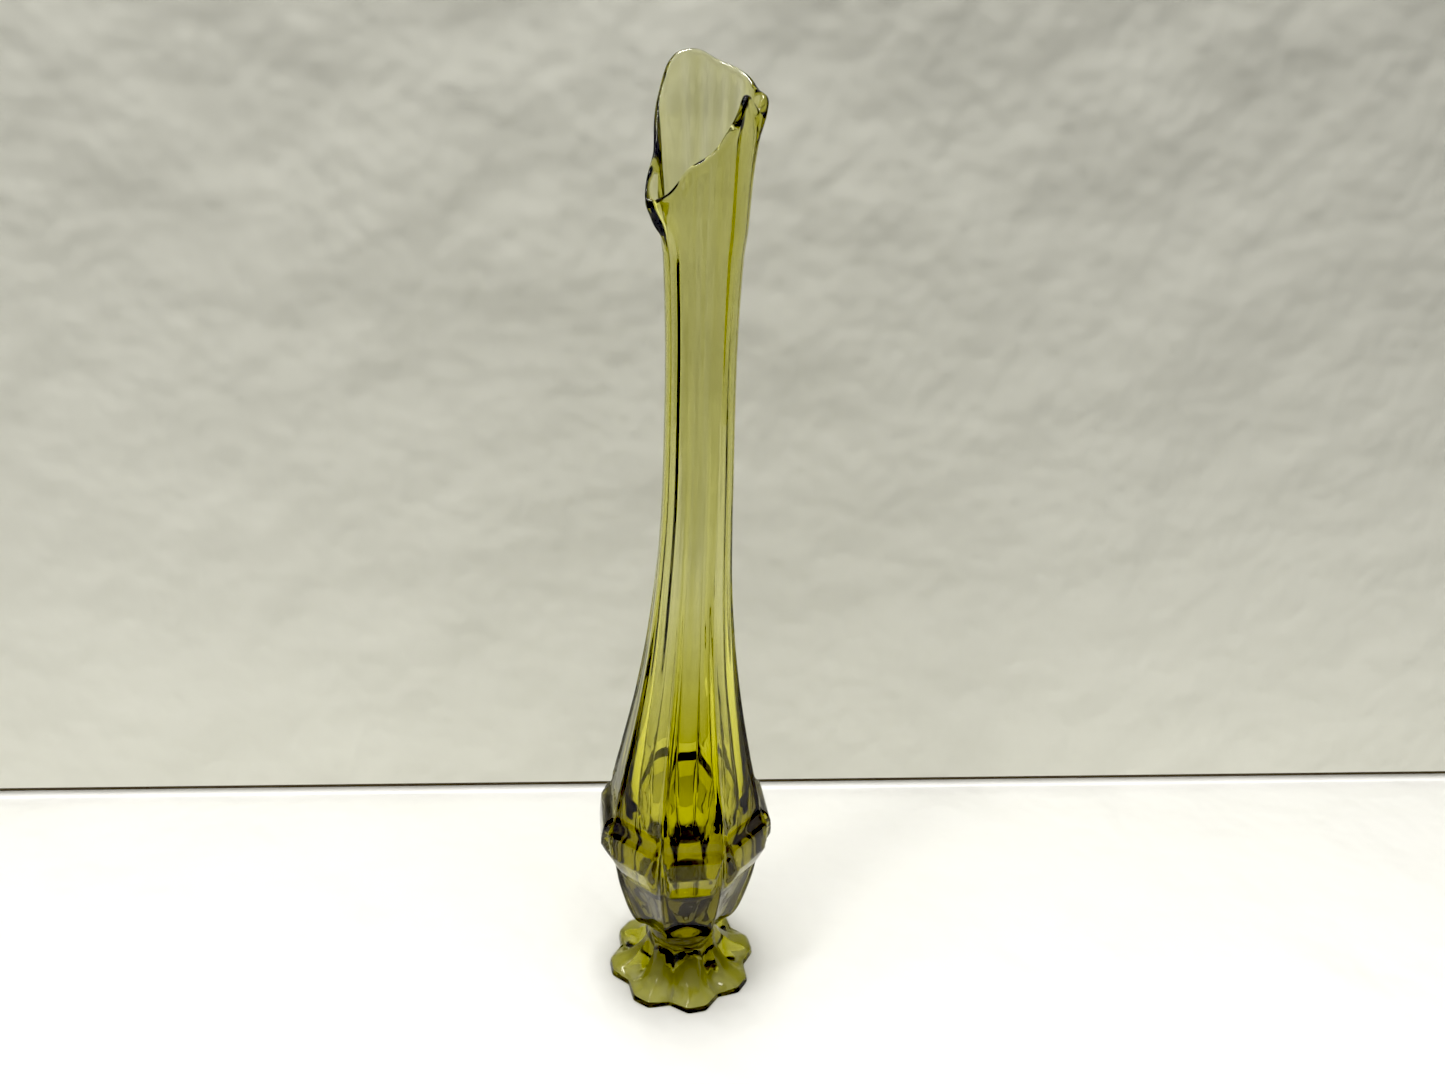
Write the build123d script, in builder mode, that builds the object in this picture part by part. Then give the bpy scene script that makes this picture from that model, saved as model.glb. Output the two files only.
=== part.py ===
"""Glass bud vase: a pressed, eight-sided foot and bowl, drawn out by swinging into a long neck.

The real vase is one piece of glass. Its regions are separate closed solids here, and each meets
the next face to face. Millimetres, +Z up. The origin is the middle of the ring that the foot
stands on. Eight panels go round the axis, and the middle of one of them faces -Y.
"""
import os
from math import cos, degrees, pi, radians, sin

from build123d import *

os.makedirs("parts", exist_ok=True)

# ---- The pattern that goes all the way up ----
PANELS = 8
PITCH = 360 / PANELS

# ---- Foot: eight petals that rise towards the stem, hollow underneath ----
petal_tip_radius = 34.2
petal_notch_radius = 29.7
petal_tip_half_angle = 7.0
petal_turn = 6.4
foot_edge_height = 3.2
foot_edge_draft = 0.5
foot_rise = 16.5
petal_shallow_tip = 26.6
petal_shallow_notch = 24.0
petal_shallow_rise = 2.6
petal_steep_tip = 20.4
petal_steep_notch = 19.2
petal_steep_rise = 6.8
hollow_radius = 27.0
hollow_height = 6.0

# ---- Stem: a short solid neck between the foot and the cup ----
stem_radius = 14.2
stem_waist = 0.4
stem_height = 8.5

# ---- Cup: thick glass with eight flutes, round the lower end of the hollow ----
cup_bottom_radius = 18.2
cup_top_radius = 32.2
cup_height = 33.5
cup_bulge = 3.0
flute_depth = 1.4

# ---- Crown: the band of eight bosses ----
crown_height = 36.0
boss_radius = 38.6
boss_level = 16.5
shoulder_radius = 33.4

# ---- Ribs on the corners between the panels, which fade as the glass is drawn out ----
rib_width = 2.4
rib_height = 0.7
rib_height_neck = 0.14
rib_height_waist = 0.07

# ---- Body, neck and mouth: hollow. The wall thins from the thick bowl to the drawn neck ----
body_height = 143.0
body_taper = 1.85
neck_height = 88.0
neck_radius = 14.1
neck_waist_radius = 13.6
mouth_base_radius = 14.8
wall = 2.5
well_radius = 23.6
well_floor_radius = 19.6
well_depth = 43.7
well_corner = 10.0
bore_taper = 1.45
body_spans = 6

# ---- The swing: the drawn glass bows a little towards +X ----
bow = 2.6
bow_start = 120.0
bow_height = 130.0

# ---- Mouth and lip: flared, cut off along a slant, fire-polished to a thicker round rim ----
bulge_radius = 17.3
bulge_height = 26.0
rim_low_radius = 17.4
rim_high_radius = 20.0
rim_height = 49.0
rim_rise = 19.5
rim_high_side = 143.0
lip_depth = 4.0
lip_overhang = 0.7
lip_round = 1.5

# ---- Levels, each from the one below ----
foot_top = foot_edge_height + foot_rise
stem_top = foot_top + stem_height
cup_top = stem_top + cup_height
crown_top = cup_top + crown_height
body_top = crown_top + body_height
neck_top = body_top + neck_height
rim_level = neck_top + rim_height
rim_top = rim_level + rim_rise


def spot(radius, angle):
    """A point at an angle from -Y, turning towards +X."""
    return (radius * sin(radians(angle)), -radius * cos(radians(angle)))


def level(height):
    """The horizontal plane at a height, centred on the bowed axis of the drawn glass."""
    way_up = min(max((height - bow_start) / bow_height, 0), 1)
    return Plane(origin=(bow * way_up**2 * (3 - 2 * way_up), 0, height))


def apothem(corner):
    """How far the middle of a flat panel is from the axis, for a corner radius."""
    return corner * cos(pi / PANELS)


def petals(height, tip, notch):
    """The foot's section: eight blunt petals with a notch between each two."""
    with BuildSketch(level(height)) as section:
        with BuildLine():
            for count in range(PANELS):
                middle = count * PITCH + petal_turn
                left = spot(tip, middle - petal_tip_half_angle)
                right = spot(tip, middle + petal_tip_half_angle)
                Line(spot(notch, middle - PITCH / 2), left)
                ThreePointArc(left, spot(tip, middle), right)
                Line(right, spot(notch, middle + PITCH / 2))
        make_face()
    return section.sketch


def panels(height, corner, middle, rib=rib_height):
    """A section of the bowl: eight panels, with a rib on the corner between each two."""
    rib_half_angle = degrees(rib_width / 2 / corner)
    with BuildSketch(level(height)) as section:
        with BuildLine():
            for count in range(PANELS):
                facing = count * PITCH
                crest = facing + PITCH / 2
                left = spot(corner, crest - PITCH + rib_half_angle)
                right = spot(corner, crest - rib_half_angle)
                next_left = spot(corner, crest + rib_half_angle)
                ThreePointArc(left, spot(middle, facing), right)
                ThreePointArc(right, spot(corner + rib, crest), next_left)
        make_face()
    return section.sketch


def disc(height, radius):
    """A round section of the hollow inside."""
    with BuildSketch(level(height)) as section:
        Circle(radius)
    return section.sketch


def body_corner(way_up):
    """The body's corner radius, from 0 at the crown to 1 at the neck."""
    return neck_radius + (shoulder_radius - neck_radius) * (1 - way_up) ** body_taper


def well():
    """The hollow's lower end, as a solid: it narrows a little and has a round corner at its floor."""
    floor = crown_top - well_depth
    with BuildPart() as hollow:
        with BuildSketch(Plane.XZ):
            with BuildLine():
                FilletPolyline(
                    (0, floor), (well_floor_radius, floor), (well_radius, crown_top), radius=well_corner
                )
                Polyline((well_radius, crown_top), (0, crown_top), (0, floor))
            make_face()
        revolve(axis=Axis.Z)
    return hollow.part


def finish(piece, name):
    """Name a finished piece and write it."""
    piece.label = name
    export_step(piece, f"parts/{name}.step")


# ---- Foot ----
edge_tip = petal_tip_radius - foot_edge_draft
edge_notch = petal_notch_radius - foot_edge_draft
hollow_dome_radius = (hollow_radius**2 + hollow_height**2) / (2 * hollow_height)
with BuildPart() as foot:
    loft(
        [
            petals(0, petal_tip_radius, petal_notch_radius),
            petals(foot_edge_height, edge_tip, edge_notch),
        ],
        ruled=True,
    )
    loft(
        [
            petals(foot_edge_height, edge_tip, edge_notch),
            petals(foot_edge_height + petal_shallow_rise, petal_shallow_tip, petal_shallow_notch),
            petals(foot_edge_height + petal_steep_rise, petal_steep_tip, petal_steep_notch),
            petals(foot_top, stem_radius, stem_radius),
        ]
    )
    with BuildSketch(Plane.XZ):
        with BuildLine():
            RadiusArc((hollow_radius, 0), (0, hollow_height), -hollow_dome_radius)
            Polyline((0, hollow_height), (0, 0), (hollow_radius, 0))
        make_face()
    revolve(axis=Axis.Z, mode=Mode.SUBTRACT)
finish(foot.part, "foot")

# ---- Stem ----
with BuildPart() as stem:
    with BuildSketch(Plane.XZ):
        with BuildLine():
            ThreePointArc(
                (stem_radius, foot_top),
                (stem_radius - stem_waist, (foot_top + stem_top) / 2),
                (stem_radius, stem_top),
            )
            Polyline((stem_radius, stem_top), (0, stem_top), (0, foot_top), (stem_radius, foot_top))
        make_face()
    revolve(axis=Axis.Z)
finish(stem.part, "stem")

# ---- Cup ----
cup_middle = (cup_bottom_radius + cup_top_radius) / 2 + cup_bulge
with BuildPart() as cup:
    loft(
        [
            panels(stem_top, cup_bottom_radius, apothem(cup_bottom_radius)),
            panels(stem_top + cup_height / 2, cup_middle, apothem(cup_middle) - flute_depth),
            panels(cup_top, cup_top_radius, apothem(cup_top_radius)),
        ]
    )
    add(well(), mode=Mode.SUBTRACT)
finish(cup.part, "cup")

# ---- Crown ----
boss_corner = (cup_top_radius + shoulder_radius) / 2
with BuildPart() as crown:
    loft(
        [
            panels(cup_top, cup_top_radius, apothem(cup_top_radius)),
            panels(cup_top + boss_level, boss_corner, boss_radius),
            panels(crown_top, shoulder_radius, apothem(shoulder_radius)),
        ]
    )
    add(well(), mode=Mode.SUBTRACT)
finish(crown.part, "crown")

# ---- Body ----
with BuildPart() as body:
    outer = []
    inner = []
    for count in range(body_spans + 1):
        way_up = count / body_spans
        height = crown_top + way_up * body_height
        corner = body_corner(way_up)
        middle = corner + (apothem(corner) - corner) * (1 - way_up)
        rib = rib_height + (rib_height_neck - rib_height) * way_up
        outer.append(panels(height, corner, middle, rib))
        neck_bore = neck_radius - wall
        inner.append(disc(height, neck_bore + (well_radius - neck_bore) * (1 - way_up) ** bore_taper))
    loft(outer)
    loft(inner, mode=Mode.SUBTRACT)
finish(body.part, "body")

# ---- Neck ----
neck_middle = (body_top + neck_top) / 2
with BuildPart() as neck:
    loft(
        [
            panels(body_top, neck_radius, neck_radius, rib_height_neck),
            panels(neck_middle, neck_waist_radius, neck_waist_radius, rib_height_waist),
            panels(neck_top, mouth_base_radius, mouth_base_radius, 0),
        ]
    )
    loft(
        [
            disc(body_top, neck_radius - wall),
            disc(neck_middle, neck_waist_radius - wall),
            disc(neck_top, mouth_base_radius - wall),
        ],
        mode=Mode.SUBTRACT,
    )
finish(neck.part, "neck")

# ---- Mouth and lip: both are turned about the bowed axis, then cut along the slant ----
rim_middle_radius = (rim_low_radius + rim_high_radius) / 2
rim_centre = level(rim_level).origin
mouth_axis = Axis(rim_centre, (0, 0, 1))


def mouth_tube(extra):
    """The uncut mouth, made thicker by the same extra on the outside and the inside."""
    stations = [
        (mouth_base_radius, neck_top),
        (bulge_radius, neck_top + bulge_height),
        (rim_middle_radius, rim_level),
        (rim_high_radius, rim_top + lip_depth),
    ]
    outer = [(radius + extra, height) for radius, height in stations]
    inner = [(radius - wall - extra, height) for radius, height in stations]
    with BuildPart() as tube:
        with BuildSketch(Plane(origin=(rim_centre.X, 0, 0), x_dir=(1, 0, 0), z_dir=(0, -1, 0))):
            with BuildLine():
                Spline(outer)
                Line(outer[-1], inner[-1])
                Spline(inner)
                Line(inner[0], outer[0])
            make_face()
        revolve(axis=mouth_axis)
    return tube.part


def slant(depth):
    """The rim's plane, high on one side, moved down square to itself by a depth."""
    high_x, high_y = spot(rim_rise, rim_high_side)
    rim_plane = Plane(
        origin=rim_centre,
        x_dir=(cos(radians(rim_high_side)), sin(radians(rim_high_side)), 0),
        z_dir=(-high_x, -high_y, rim_middle_radius),
    )
    return rim_plane.offset(-depth)


with BuildPart() as mouth:
    add(mouth_tube(0))
    split(bisect_by=slant(lip_depth), keep=Keep.BOTTOM)
finish(mouth.part, "mouth")

with BuildPart() as lip:
    add(mouth_tube(lip_overhang))
    split(bisect_by=slant(0), keep=Keep.BOTTOM)
    split(bisect_by=slant(lip_depth), keep=Keep.TOP)
    fillet(lip.faces().filter_by(GeomType.PLANE).edges(), lip_round)
finish(lip.part, "lip")
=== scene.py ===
"""Glass bud vase: one seamless piece of avocado-green glass, with its stage, lights and camera.

The vase is one closed skin: underside, foot, stem, cup, crown, body, neck, mouth, over the lip and
down the inside to the well. It is a grid of rows (up the vase) and columns (round it).
Lengths are millimetres until the mesh is made. Angles go round from -Y towards +X, in degrees.
"""

import bpy
import numpy as np
from math import cos, pi, radians, sin
from mathutils import Matrix, Vector


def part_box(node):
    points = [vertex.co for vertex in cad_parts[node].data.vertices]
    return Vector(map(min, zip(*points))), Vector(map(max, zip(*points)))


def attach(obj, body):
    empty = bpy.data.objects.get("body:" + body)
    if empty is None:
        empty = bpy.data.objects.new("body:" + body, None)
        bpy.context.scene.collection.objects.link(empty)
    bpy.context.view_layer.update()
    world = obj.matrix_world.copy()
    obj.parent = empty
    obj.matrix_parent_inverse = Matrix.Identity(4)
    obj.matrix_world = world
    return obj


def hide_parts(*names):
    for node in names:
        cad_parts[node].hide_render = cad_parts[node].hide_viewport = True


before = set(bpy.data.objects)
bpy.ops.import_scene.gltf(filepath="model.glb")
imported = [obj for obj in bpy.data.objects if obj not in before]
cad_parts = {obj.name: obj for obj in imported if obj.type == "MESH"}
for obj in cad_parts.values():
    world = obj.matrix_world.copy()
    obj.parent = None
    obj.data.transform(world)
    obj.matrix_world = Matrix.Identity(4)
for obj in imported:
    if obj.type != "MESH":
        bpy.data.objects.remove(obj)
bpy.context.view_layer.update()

MM = 0.001
PANELS = 8
PITCH = 360 / PANELS
HALF = PITCH / 2


def top(node):
    """The height of a CAD node's highest point."""
    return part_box(node)[1].z / MM


foot_top = top("foot")
stem_top = top("stem")
cup_top = top("cup")
crown_top = top("crown")
body_top = top("body")
neck_top = top("neck")
lip_top = top("lip")

# ---- Columns: closer together at the ribs and notches than in the middle of a panel ----
COLUMNS_PER_PANEL = 26
CROWDING = 0.55
even = np.arange(COLUMNS_PER_PANEL) / COLUMNS_PER_PANEL * 2 - 1
across = (1 - CROWDING) * even + CROWDING * np.sin(even * pi / 2)
across = np.tile(across, PANELS)
panel_middle = np.repeat(np.arange(PANELS) * PITCH, COLUMNS_PER_PANEL)
off_middle = across * HALF
turn = panel_middle + off_middle
flat_rise = (1 / np.cos(np.radians(off_middle)) - 1) / (1 / cos(radians(HALF)) - 1)


def smooth(value, low=0.0, high=1.0):
    """0 below low, 1 above high, and a smooth rise between them."""
    x = np.clip((value - low) / (high - low), 0, 1)
    return x * x * (3 - 2 * x)


def curve(points):
    """A smooth curve through a few (place, value) points that never overshoots them."""
    place, value = np.array(points, float).T
    step = np.diff(place)
    slope = np.diff(value) / step
    tangent = np.zeros(len(place))
    same_way = slope[:-1] * slope[1:] > 0
    weight_a = 2 * step[1:] + step[:-1]
    weight_b = step[1:] + 2 * step[:-1]
    with np.errstate(divide="ignore", invalid="ignore"):
        mean = (weight_a + weight_b) / (weight_a / slope[:-1] + weight_b / slope[1:])
    tangent[1:-1] = np.where(same_way, mean, 0)
    tangent[0] = slope[0]
    tangent[-1] = slope[-1]

    def read(x):
        x = np.clip(np.asarray(x, float), place[0], place[-1])
        k = np.clip(np.searchsorted(place, x) - 1, 0, len(step) - 1)
        t = (x - place[k]) / step[k]
        lead = value[k] + t * t * (3 - 2 * t) * (value[k + 1] - value[k])
        lean = (t * (1 - t) ** 2 * tangent[k] - t * t * (1 - t) * tangent[k + 1]) * step[k]
        return lead + lean

    return read


# ---- The swing: the axis of the drawn glass bows towards +X ----
bow = curve([(120, 0), (185, 1.3), (250, 2.6), (400, 2.6)])

# ---- Skin outside: the corners under the ribs, how flat the panels are, the ribs and the flutes ----
corner = curve(
    [
        (foot_top, 14.3),
        (stem_top - 1.6, 13.8),
        (stem_top - 0.5, 14.4),
        (stem_top + 0.3, 16.2),
        (stem_top + 1.5, 19.0),
        (stem_top + 5, 23.2),
        (stem_top + 11, 26.2),
        (stem_top + 20, 29.0),
        (cup_top, 32.2),
        (cup_top + 15, 33.9),
        (crown_top - 8, 33.9),
        (crown_top + 3, 32.8),
        (crown_top + 19, 29.2),
        (crown_top + 50, 22.9),
        (crown_top + 79, 18.5),
        (crown_top + 112, 15.4),
        (body_top, 14.1),
        (body_top + 48, 13.5),
        (neck_top, 14.6),
        (neck_top + 12, 15.9),
        (neck_top + 45, 17.0),
        (lip_top + 10, 17.2),
    ]
)
flatness = curve(
    [
        (stem_top, 0.0),
        (stem_top + 4, 1.0),
        (crown_top + 50, 0.95),
        (body_top, 0.1),
        (neck_top, 0),
    ]
)
rib_height = curve(
    [
        (stem_top, 0.0),
        (stem_top + 3, 0.6),
        (crown_top, 0.75),
        (crown_top + 60, 0.45),
        (body_top, 0.16),
        (neck_top, 0.05),
    ]
)
flute = curve(
    [
        (stem_top + 1, 0.0),
        (stem_top + 6, 1.5),
        (stem_top + 20, 2.0),
        (cup_top - 1, 1.0),
        (cup_top + 6, 0),
    ]
)
RIB_WIDTH = 2.3
RIB_EDGE = 0.7

# ---- Bosses: a bevel that faces up, a steep face, a ridge, and a bevel that turns in below ----
boss_plane = curve(
    [
        (cup_top - 12, 5.0),
        (cup_top + 1, 29.0),
        (cup_top + 6, 32.4),
        (cup_top + 15.5, 36.9),
        (cup_top + 18, 37.7),
        (cup_top + 22, 37.4),
        (cup_top + 27, 36.7),
        (cup_top + 29.5, 35.6),
        (cup_top + 33, 32.4),
        (crown_top + 6, 29.6),
        (crown_top + 20, 5.0),
    ]
)
boss_half_width = curve([(cup_top, 7.0), (cup_top + 17, 8.2), (cup_top + 28, 11.2), (crown_top + 4, 12.0)])
boss_side = curve([(cup_top, 4.2), (cup_top + 17, 3.4), (cup_top + 28, 0.9), (crown_top + 4, 0.6)])


RIPPLE_WAVES = np.arange(3, 19)
RIPPLE_DRIFT = 140.0


def ripples(height, seed):
    """Slow uneven waves round the drawn glass, which drift a little on their way up."""
    draw = np.random.default_rng(seed)
    total = 0
    for wave in RIPPLE_WAVES:
        start, drift, strength = draw.uniform((0, -2, 0.3), (2 * pi, 2, 1.0))
        total = total + strength * np.cos(wave * np.radians(turn) + start + drift * height / RIPPLE_DRIFT)
    drawn = smooth(height, crown_top + 10, crown_top + 90)
    return drawn * total / len(RIPPLE_WAVES) ** 0.5


OUTER_RIPPLE = 0.09
INNER_RIPPLE = 0.4


def outside(height):
    """How far the skin is from the axis: one row for each height, one column for each angle."""
    height = np.asarray(height, float)[:, None]
    edge = corner(height)
    middle = edge * (1 - flatness(height) * (1 - cos(radians(HALF))))
    reach = middle + (edge - middle) * flat_rise
    reach = reach - flute(height) * (1 - across**2) ** 1.5
    sideways = np.abs(reach * np.sin(np.radians(off_middle)))
    boss = boss_plane(height) / np.cos(np.radians(off_middle)) - reach
    fade = smooth((boss_half_width(height) + boss_side(height) - sideways) / boss_side(height))
    reach = reach + np.maximum(boss, 0) * fade
    to_rib = (1 - np.abs(across)) * radians(HALF) * edge
    rib = smooth((RIB_WIDTH / 2 + RIB_EDGE / 2 - to_rib) / RIB_EDGE)
    return reach + rib_height(height) * rib + OUTER_RIPPLE * ripples(height, 1)


# ---- Skin inside: the hollow ----
bore = curve(
    [
        (cup_top, 20.3),
        (crown_top, 23.6),
        (crown_top + 28, 20.6),
        (crown_top + 60, 16.6),
        (crown_top + 95, 14.0),
        (body_top, 11.7),
        (body_top + 48, 11.1),
        (neck_top, 12.2),
        (neck_top + 12, 13.4),
        (neck_top + 45, 14.5),
        (lip_top + 10, 14.8),
    ]
)
WELL_BOTTOM = 54.0
WELL_CORNER = 10.0
WELL_DOME = 0.5

SOFTENING = 3.5
SOFTENING_REACH = 2
SOFTENING_SAMPLES = 13


def around(points):
    """A soft closed curve near a few (angle, value) points, read at each column's angle."""
    laps = [(angle + lap, value) for lap in (-720, -360, 0, 360, 720) for angle, value in points]
    read = curve(sorted(laps))
    shifts = np.linspace(-SOFTENING_REACH, SOFTENING_REACH, SOFTENING_SAMPLES)
    weights = np.exp(-(shifts**2)) / np.exp(-(shifts**2)).sum()
    return sum(weight * read(turn + shift * SOFTENING) for shift, weight in zip(shifts, weights))


# ---- Rim: drop below its highest point, distance from the bowed axis, half the bead's thickness ----
RIM_ABOVE_LIP = 1.5
rim_drop = around(
    [
        (-171, 0.4), (-156, 1.4), (-141, 6), (-126, 16), (-104, 28),
        (-82, 40), (-66, 48.5), (-52, 47), (-22, 37), (8, 30.5),
        (24, 22.5), (39, 14), (54, 16.5), (69, 20), (84, 14.5),
        (106, 12), (128, 8), (144, 5.6), (160, 4),
    ],
)
rim_out = around(
    [
        (-170, 18.3), (-150, 18.7), (-126, 18.4), (-97, 16.6), (-66, 21.2),
        (-36, 16.8), (-20, 18.7), (8, 16.8), (28, 18.5), (54, 16.8),
        (83, 19.0), (100, 17.6), (128, 18.4), (146, 17.3),
    ],
)
bead = around(
    [
        (-160, 1.3), (-100, 1.45), (-66, 1.8), (-20, 1.4), (20, 1.4),
        (50, 1.5), (83, 2.1), (110, 1.6), (150, 1.3),
    ],
)
rim_height = lip_top + RIM_ABOVE_LIP - rim_drop - bead

# ---- Foot: eight blunt petals, turned a little against the panels ----
PETAL_TURN = 6.4
NOTCH = 29.7
TIP = 34.2
TIP_HALF_ANGLE = 7.0
TIP_SOFTNESS = 0.5
TIP_GROWTH = 0.15
NOTCH_SOFTNESS = 0.8
RIDGE_SOFTNESS = 0.6
EDGE_HEIGHT = 3.2
EDGE_DRAFT = 0.5
ARRIS = 0.5
HOLLOW_RADIUS = 27.0
HOLLOW_HEIGHT = 8.0
HOLLOW_FULLNESS = 1.5
RING_WIDTH = 3.2
COLLAR_RADIUS = 14.9
COLLAR_STEP = 0.9
COLLAR_WEDGE = 0.35
LOBE_RISE = 4.0
CREASE_DEPTH = 1.5
CREASE_START = 0.78
CREST_FADE = 0.6
petal_slope = curve(
    [
        (0, EDGE_HEIGHT),
        (0.22, EDGE_HEIGHT + 0.9),
        (0.46, EDGE_HEIGHT + 2.5),
        (0.7, EDGE_HEIGHT + 6.3),
        (0.86, EDGE_HEIGHT + 10.5),
        (1, foot_top - COLLAR_STEP),
    ]
)
collar_tip = COLLAR_WEDGE * flat_rise


def petal_outline():
    """The foot's edge for each column: a flat tip, two straight sides, soft corners and notches."""
    tip_corner = np.array([TIP * sin(radians(TIP_HALF_ANGLE)), TIP * cos(radians(TIP_HALF_ANGLE))])
    notch = np.array([NOTCH * sin(radians(HALF)), NOTCH * cos(radians(HALF))])
    along = notch - tip_corner
    normal = np.array([-along[1], along[0]]) / np.hypot(*along)
    reach = normal @ tip_corner
    folded = HALF - np.sqrt((HALF - np.abs(off_middle)) ** 2 + NOTCH_SOFTNESS**2)
    folded = np.radians(folded)
    side = reach / (normal[0] * np.sin(folded) + normal[1] * np.cos(folded))
    flat_tip = tip_corner[1] / np.cos(np.radians(off_middle))
    gap = side - flat_tip
    return (side + flat_tip) / 2 - np.sqrt(gap**2 + TIP_SOFTNESS**2) / 2 + TIP_GROWTH


petal = petal_outline()
past_ridge = np.abs(off_middle) - TIP_HALF_ANGLE
shoulder = np.sqrt(past_ridge**2 + RIDGE_SOFTNESS) + past_ridge
roof = 1 - shoulder / shoulder.max()
crease = np.maximum(np.abs(across) - CREASE_START, 0) / (1 - CREASE_START)
rows = []


def add_row(reach, height, twist=0.0, centre=0.0):
    """One ring of the skin: how far each column is from the axis, and how high."""
    angle = np.radians(turn + twist)
    reach = np.broadcast_to(reach, turn.shape)
    height = np.broadcast_to(height, turn.shape)
    rows.append(np.stack([centre + reach * np.sin(angle), -reach * np.cos(angle), height], 1))


def foot_rows():
    """The hollow underside, the ring that it stands on, the edge and the rising petals."""
    ring = petal - RING_WIDTH
    for way in np.linspace(0.05, 1, 20):
        reach = (HOLLOW_RADIUS + (ring - HOLLOW_RADIUS) * way**3) * way
        add_row(reach, HOLLOW_HEIGHT * (1 - way**HOLLOW_FULLNESS), PETAL_TURN)
    for way in (0.3, 0.6, 0.85):
        add_row(ring + (RING_WIDTH - ARRIS) * way, 0, PETAL_TURN)
    for angle in np.linspace(0, pi / 2, 5):
        add_row(petal - ARRIS * (1 - sin(angle)), ARRIS * (1 - cos(angle)), PETAL_TURN)
    for way in (0.3, 0.6):
        add_row(petal - EDGE_DRAFT * way, EDGE_HEIGHT * way, PETAL_TURN)
    for angle in np.linspace(0, pi / 2, 5):
        add_row(
            petal - EDGE_DRAFT - ARRIS * (1 - cos(angle)),
            EDGE_HEIGHT - ARRIS * (1 - sin(angle)),
            PETAL_TURN,
        )
    start = petal - EDGE_DRAFT - ARRIS
    for way in np.linspace(0.02, 1, 44):
        crest = LOBE_RISE * (roof - 0.5) - CREASE_DEPTH * crease
        crest = crest * (4 * way * (1 - way)) ** CREST_FADE
        add_row(start + (COLLAR_RADIUS - start) * way, petal_slope(way) + crest, PETAL_TURN)
    for way in np.linspace(0.15, 1, 5):
        add_row(COLLAR_RADIUS + collar_tip * (1 - way), foot_top - COLLAR_STEP * (1 - way) ** 2, PETAL_TURN)


def wall_rows():
    """The stem, cup, crown, body and neck."""
    heights = np.concatenate(
        [
            np.linspace(foot_top + 0.3, stem_top - 0.8, 10),
            np.linspace(stem_top - 0.5, stem_top + 3, 10),
            np.linspace(stem_top + 4, cup_top, 30),
            np.linspace(cup_top + 0.6, crown_top, 62),
            np.linspace(crown_top + 1.5, body_top, 80),
            np.linspace(body_top + 4, neck_top, 20),
        ]
    )
    reach = outside(heights)
    for height, ring in zip(heights, reach):
        twist = PETAL_TURN * (1 - smooth(height, foot_top, stem_top))
        add_row(ring, height, twist, float(bow(height)))


flare_height = around([(-150, 12), (-66, 7.5), (20, 9), (83, 13), (120, 12)])
FLARE_SHAPE = 1.4
STEEPEST_STRETCH = 1.8
BEAD_LENGTH = 2.6
BLEND_IN = 0.3
DRIP_ANGLE = -66
DRIP_SPREAD = 8.0
DRIP_DEPTH = 6.0
DRIP_LENGTH = 4
DRIP_SIZE = 1.6


def mouth_rows():
    """The flared mouth, up the outside, over the bead of the lip and down the inside."""
    ways = np.linspace(0, 1, 40)[1:]
    middles = []
    climb = np.gradient(np.concatenate([rim_height[-1:], rim_height, rim_height[:1]]))[1:-1]
    across_gap = np.radians(np.gradient(np.unwrap(turn, period=360))) * rim_out
    stretch = np.minimum(np.sqrt(1 + (climb / across_gap) ** 2), STEEPEST_STRETCH)
    for way in np.concatenate([[0], ways]):
        height = neck_top + (rim_height - neck_top) * way
        wall = corner(height) - bore(height)
        middle = (corner(height) + bore(height)) / 2
        below = rim_height - height
        rim_middle = (corner(rim_height) + bore(rim_height)) / 2
        middle = middle + (rim_out - rim_middle) * np.exp(-((below / flare_height) ** FLARE_SHAPE))
        swell = (bead - wall / 2) * (1 - smooth(below, 0, BEAD_LENGTH * bead * stretch))
        middles.append((middle, height, wall / 2 + np.maximum(swell, 0)))
    middle = np.array([m[0] for m in middles])
    height = np.array([m[1] for m in middles])
    half = np.array([m[2] for m in middles])
    lean = np.gradient(middle, axis=0) / np.gradient(height, axis=0)
    length = np.sqrt(1 + lean**2)
    side_out, side_up = 1 / length, -lean / length
    centre = float(bow(lip_top))
    for k in range(1, len(middle)):
        blend = smooth(np.array(k / len(middle)), 0, BLEND_IN)
        drip = np.exp(-(((turn + 180) % 360 - 180 - DRIP_ANGLE) / DRIP_SPREAD) ** 2)
        drip = DRIP_SIZE * drip * np.exp(-(((rim_height - height[k] - DRIP_DEPTH) / DRIP_LENGTH) ** 2))
        ring = middle[k] + side_out[k] * half[k] + OUTER_RIPPLE * ripples(height[k], 1) + drip
        ring = ring * blend + (1 - blend) * outside_at(height[k])
        add_row(ring, height[k] + side_up[k] * half[k], 0, centre)
    for angle in np.linspace(0, pi, 12)[1:-1]:
        out = cos(angle) * half[-1]
        up = sin(angle) * half[-1] * stretch
        add_row(
            middle[-1] + side_out[-1] * out - side_up[-1] * up,
            height[-1] + side_up[-1] * out + side_out[-1] * up,
            0,
            centre,
        )
    for k in range(len(middle) - 1, 0, -1):
        ripple = INNER_RIPPLE * ripples(height[k], 2)
        add_row(middle[k] - side_out[k] * half[k] + ripple, height[k] - side_up[k] * half[k], 0, centre)


def outside_at(height):
    """The plain skin for one height in each column."""
    return corner(height) + OUTER_RIPPLE * ripples(height, 1)


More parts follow.
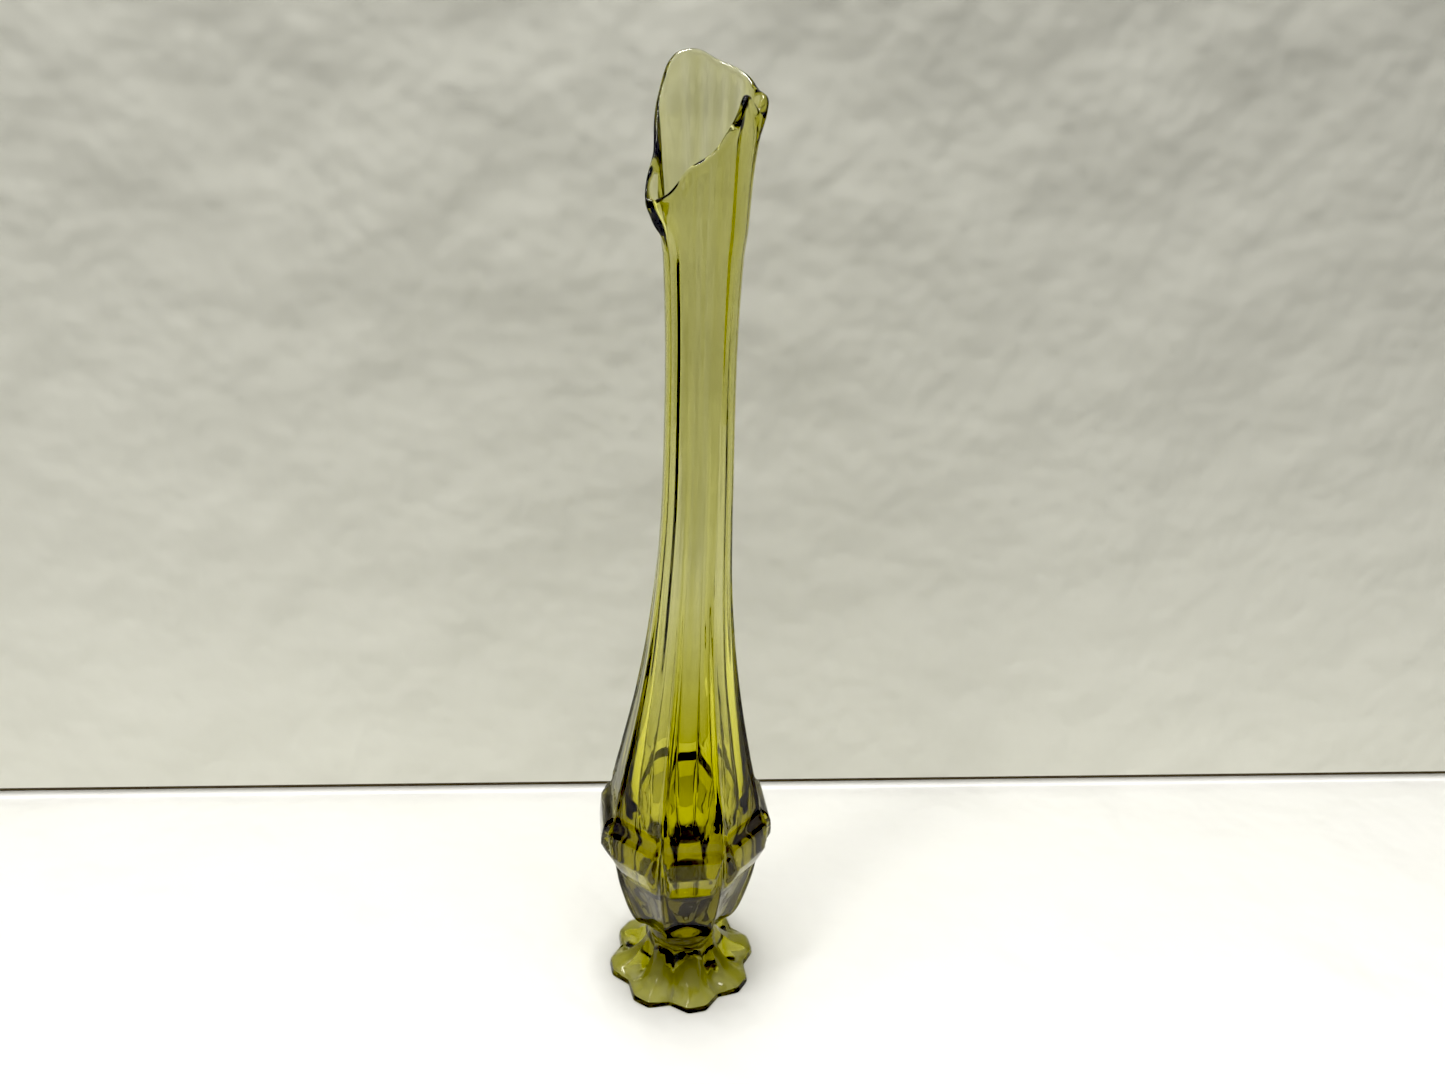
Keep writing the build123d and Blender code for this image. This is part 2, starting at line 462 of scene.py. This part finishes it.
def hollow_rows():
    """Down the inside of the neck and body to the round well in the crown."""
    neck_heights = np.linspace(neck_top, body_top, 16)
    body_heights = np.linspace(body_top - 3, crown_top, 50)
    for height in np.concatenate([neck_heights, body_heights]):
        add_row(bore(height) + INNER_RIPPLE * ripples(height, 2), height, 0, float(bow(height)))
    for height in np.linspace(crown_top - 1, WELL_BOTTOM + WELL_CORNER, 16):
        add_row(bore(height), height)
    widest = bore(WELL_BOTTOM + WELL_CORNER)
    for angle in np.linspace(0, pi / 2, 16)[1:]:
        add_row(widest - WELL_CORNER * (1 - cos(angle)), WELL_BOTTOM + WELL_CORNER * (1 - sin(angle)))
    for way in np.linspace(1, 0, 6)[1:-1]:
        add_row((widest - WELL_CORNER) * way, WELL_BOTTOM + WELL_DOME * (1 - way**2))


def glass_skin():
    """The closed mesh: quads between the rows, and a fan at each end."""
    foot_rows()
    wall_rows()
    mouth_rows()
    hollow_rows()
    grid = np.array(rows)
    count, around_count = grid.shape[:2]
    points = np.concatenate(
        [grid.reshape(-1, 3), [[0, 0, HOLLOW_HEIGHT], [0, 0, WELL_BOTTOM + WELL_DOME]]]
    )
    index = np.arange(count * around_count).reshape(count, around_count)
    right = np.roll(index, -1, axis=1)
    quads = np.stack([index[:-1], right[:-1], right[1:], index[1:]], -1).reshape(-1, 4)
    first, last = len(points) - 2, len(points) - 1
    faces = quads.tolist()
    faces += [(first, int(b), int(a)) for a, b in zip(index[0], right[0])]
    faces += [(last, int(a), int(b)) for a, b in zip(index[-1], right[-1])]
    mesh = bpy.data.meshes.new("vase_glass")
    mesh.from_pydata((points * MM).tolist(), [], faces)
    mesh.validate()
    mesh.shade_smooth()
    return mesh


NOISE_LOW = 0.3
NOISE_HIGH = 0.7


def noise(nodes, links, vector, scale, detail):
    """Soft noise, read at a vector."""
    texture = nodes.new("ShaderNodeTexNoise")
    texture.inputs["Scale"].default_value = scale
    texture.inputs["Detail"].default_value = detail
    links.new(vector, texture.inputs["Vector"])
    return texture.outputs[0]


def relief(nodes, links, height, shader, strength, distance):
    """A bump made from a height."""
    bump = nodes.new("ShaderNodeBump")
    bump.inputs["Strength"].default_value = strength
    bump.inputs["Distance"].default_value = distance
    links.new(height, bump.inputs["Height"])
    links.new(bump.outputs["Normal"], shader.inputs["Normal"])


def between(nodes, links, value, low, high, socket):
    """Spread a noise value between two numbers on a shader's socket."""
    spread = nodes.new("ShaderNodeMapRange")
    spread.inputs["From Min"].default_value = NOISE_LOW
    spread.inputs["From Max"].default_value = NOISE_HIGH
    spread.inputs["To Min"].default_value = low
    spread.inputs["To Max"].default_value = high
    links.new(value, spread.inputs["Value"])
    links.new(spread.outputs["Result"], socket)


GLASS_IOR = 1.51
GLASS_TINT = (0.795, 0.78, 0.0, 1)
GLASS_DENSITY = 205
STREAK_SCALE = 260
STREAK_STRETCH = 0.08
STREAK_STRENGTH = 0.35
STREAK_DEPTH = 0.00012
WEAR_SCALE = 40
WEAR_ROUGHNESS = 0.02


def glass_material():
    """Avocado glass: faint drawn streaks, tinted by how much glass the light passes through."""
    material = bpy.data.materials.new("avocado_glass")
    material.use_nodes = True
    nodes = material.node_tree.nodes
    links = material.node_tree.links
    shader = nodes["Principled BSDF"]
    shader.inputs["Base Color"].default_value = (1, 1, 1, 1)
    shader.inputs["Transmission Weight"].default_value = 1
    shader.inputs["IOR"].default_value = GLASS_IOR
    place = nodes.new("ShaderNodeTexCoord")
    drawn = nodes.new("ShaderNodeMapping")
    drawn.inputs["Scale"].default_value = (1, 1, STREAK_STRETCH)
    links.new(place.outputs["Object"], drawn.inputs["Vector"])
    streaks = noise(nodes, links, drawn.outputs["Vector"], STREAK_SCALE, 2)
    relief(nodes, links, streaks, shader, STREAK_STRENGTH, STREAK_DEPTH)
    wear = noise(nodes, links, place.outputs["Object"], WEAR_SCALE, 4)
    between(nodes, links, wear, 0.0, WEAR_ROUGHNESS, shader.inputs["Roughness"])
    volume = nodes.new("ShaderNodeVolumeAbsorption")
    volume.inputs["Color"].default_value = GLASS_TINT
    volume.inputs["Density"].default_value = GLASS_DENSITY
    links.new(volume.outputs["Volume"], nodes["Material Output"].inputs["Volume"])
    return material


mesh = glass_skin()
mesh.materials.append(glass_material())
vase = bpy.data.objects.new("vase_glass", mesh)
bpy.context.scene.collection.objects.link(vase)
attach(vase, "root")
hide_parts("foot", "stem", "cup", "crown", "body", "neck", "mouth", "lip")


# ---- Stage: a pale table, a pale cloth-grey wall behind it, and a dark sheet behind the gap under the wall as painted shade ----
FOLD_SCALE = 14
FOLD_STRENGTH = 0.5
FOLD_DEPTH = 0.02
WEAVE_SCALE = 300
ROUGHNESS_SPREAD = 0.1


def cloth_material(name, colour, roughness):
    """A matt cloth: soft folds and slightly uneven roughness."""
    material = bpy.data.materials.new(name)
    material.use_nodes = True
    nodes = material.node_tree.nodes
    links = material.node_tree.links
    shader = nodes["Principled BSDF"]
    shader.inputs["Base Color"].default_value = (*colour, 1)
    place = nodes.new("ShaderNodeTexCoord").outputs["Object"]
    folds = noise(nodes, links, place, FOLD_SCALE, 3)
    relief(nodes, links, folds, shader, FOLD_STRENGTH, FOLD_DEPTH)
    weave = noise(nodes, links, place, WEAVE_SCALE, 2)
    low, high = roughness - ROUGHNESS_SPREAD, roughness + ROUGHNESS_SPREAD
    between(nodes, links, weave, low, high, shader.inputs["Roughness"])
    return material


def stage_sheet(name, corners, material):
    """A flat four-cornered piece of the stage."""
    sheet_mesh = bpy.data.meshes.new(name)
    sheet_mesh.from_pydata(corners, [], [(0, 1, 2, 3)])
    sheet_mesh.materials.append(material)
    sheet = bpy.data.objects.new(name, sheet_mesh)
    bpy.context.scene.collection.objects.link(sheet)


WALL_Y = 0.133
WALL_TURN = radians(4)
GAP = 0.006
WALL_SIDE = 2
STAGE_TOP = 0.72
TABLE_Z = -0.0002
TABLE_FRONT = -0.24
TABLE_SIDE = 0.9
TABLE_BACK = 0.6


def wall_place(x, height, behind=0.0):
    """A point on the wall, which turns a little away from the vase on the left."""
    return (x * cos(WALL_TURN), WALL_Y - x * sin(WALL_TURN) + behind, height)


def wall_corners(bottom, top, behind=0.0):
    """The four corners of a strip of the wall's full width."""
    return [
        wall_place(-WALL_SIDE, bottom, behind),
        wall_place(WALL_SIDE, bottom, behind),
        wall_place(WALL_SIDE, top, behind),
        wall_place(-WALL_SIDE, top, behind),
    ]


stage_sheet(
    "table",
    [
        (-TABLE_SIDE, TABLE_FRONT, TABLE_Z),
        (TABLE_SIDE, TABLE_FRONT, TABLE_Z),
        (TABLE_SIDE, TABLE_BACK, TABLE_Z),
        (-TABLE_SIDE, TABLE_BACK, TABLE_Z),
    ],
    cloth_material("table_white", (0.86, 0.86, 0.84), 0.7),
)
stage_sheet("wall", wall_corners(GAP, STAGE_TOP), cloth_material("wall_grey", (0.76, 0.76, 0.68), 0.8))
# The gap sheet: a dark brown sheet just behind the gap under the wall, painted shade where the wall meets
# the table.
stage_sheet(
    "gap",
    wall_corners(TABLE_Z, 2 * GAP, GAP),
    cloth_material("painted_shadow_brown", (0.16, 0.14, 0.1), 0.9),
)


# ---- Light: a bright ceiling, a dim room behind the camera, three soft lamps ----
def soft_light(name, place, target, width, height, power):
    """A rectangular light that faces a target."""
    lamp = bpy.data.lights.new(name, "AREA")
    lamp.shape = "RECTANGLE"
    lamp.size = width
    lamp.size_y = height
    lamp.energy = power
    lamp.color = (1.0, 0.99, 0.96)
    light = bpy.data.objects.new(name, lamp)
    light.location = place
    light.rotation_euler = (Vector(target) - Vector(place)).to_track_quat("-Z", "Y").to_euler()
    bpy.context.scene.collection.objects.link(light)


soft_light("overhead", (-0.25, 0.1, 1.4), (0, 0, 0.1), 0.9, 0.12, 1.5)
soft_light("above", (0, 0.2, 1.2), (0, 0, 0.05), 0.2, 0.6, 5.0)
soft_light("window", (-0.5, -0.35, 1.3), (0, 0, 0.2), 0.12, 0.5, 1.5)


SIDE_GLOW = 0.35
DARK_BELOW = 0.25
BRIGHT_ABOVE = 0.75
DARK_STRENGTH = 0.01
BRIGHT_STRENGTH = 0.75


def room():
    """The surroundings: bright overhead and at the sides, dark low down behind the camera."""
    world = bpy.data.worlds.new("room")
    bpy.context.scene.world = world
    world.use_nodes = True
    nodes = world.node_tree.nodes
    links = world.node_tree.links
    direction = nodes.new("ShaderNodeTexCoord")
    split = nodes.new("ShaderNodeSeparateXYZ")
    sideways = nodes.new("ShaderNodeMath")
    sideways.operation = "ABSOLUTE"
    height = nodes.new("ShaderNodeMath")
    height.operation = "MULTIPLY_ADD"
    height.inputs[1].default_value = SIDE_GLOW
    ceiling = nodes.new("ShaderNodeMapRange")
    ceiling.interpolation_type = "SMOOTHSTEP"
    ceiling.inputs["From Min"].default_value = DARK_BELOW
    ceiling.inputs["From Max"].default_value = BRIGHT_ABOVE
    ceiling.inputs["To Min"].default_value = DARK_STRENGTH
    ceiling.inputs["To Max"].default_value = BRIGHT_STRENGTH
    links.new(direction.outputs["Generated"], split.inputs[0])
    links.new(split.outputs["X"], sideways.inputs[0])
    links.new(sideways.outputs[0], height.inputs[0])
    links.new(split.outputs["Z"], height.inputs[2])
    links.new(height.outputs[0], ceiling.inputs["Value"])
    background = nodes["Background"]
    background.inputs["Color"].default_value = (1.0, 0.985, 0.95, 1)
    links.new(ceiling.outputs["Result"], background.inputs["Strength"])


room()


EXPOSURE = 0.72
BLACK_LEVEL = (0.03, 0.03, 0.026)


def camera_look():
    """A contrasty camera: plain colours, a firm black point and a little more exposure."""
    look = bpy.context.scene.view_settings
    look.view_transform = "Standard"
    look.exposure = EXPOSURE
    look.use_curve_mapping = True
    look.curve_mapping.black_level = BLACK_LEVEL
    look.curve_mapping.update()


camera_look()

# ---- Camera: a wide lens, close to the vase and well above it ----
UNIT = NOTCH * MM
LENS = 27.06
FAR = 13.373 * UNIT
HIGH = 13.227 * UNIT
FROM_SIDE = 6.5
AIM_SIDE = 1.86
LOOK_DOWN = 23.72
TILT = 1.95
camera_data = bpy.data.cameras.new("camera")
camera_data.sensor_width = 36
camera_data.lens = LENS
camera_data.clip_start = 0.01
camera = bpy.data.objects.new("camera", camera_data)
side_angle = radians(FROM_SIDE)
place = Matrix.Translation((-FAR * sin(side_angle), -FAR * cos(side_angle), HIGH))
heading = Matrix.Rotation(-radians(AIM_SIDE + FROM_SIDE), 4, "Z")
down = Matrix.Rotation(pi / 2 - radians(LOOK_DOWN), 4, "X")
roll = Matrix.Rotation(radians(TILT), 4, "Z")
camera.matrix_world = place @ heading @ down @ roll
bpy.context.scene.collection.objects.link(camera)
bpy.context.scene.camera = camera
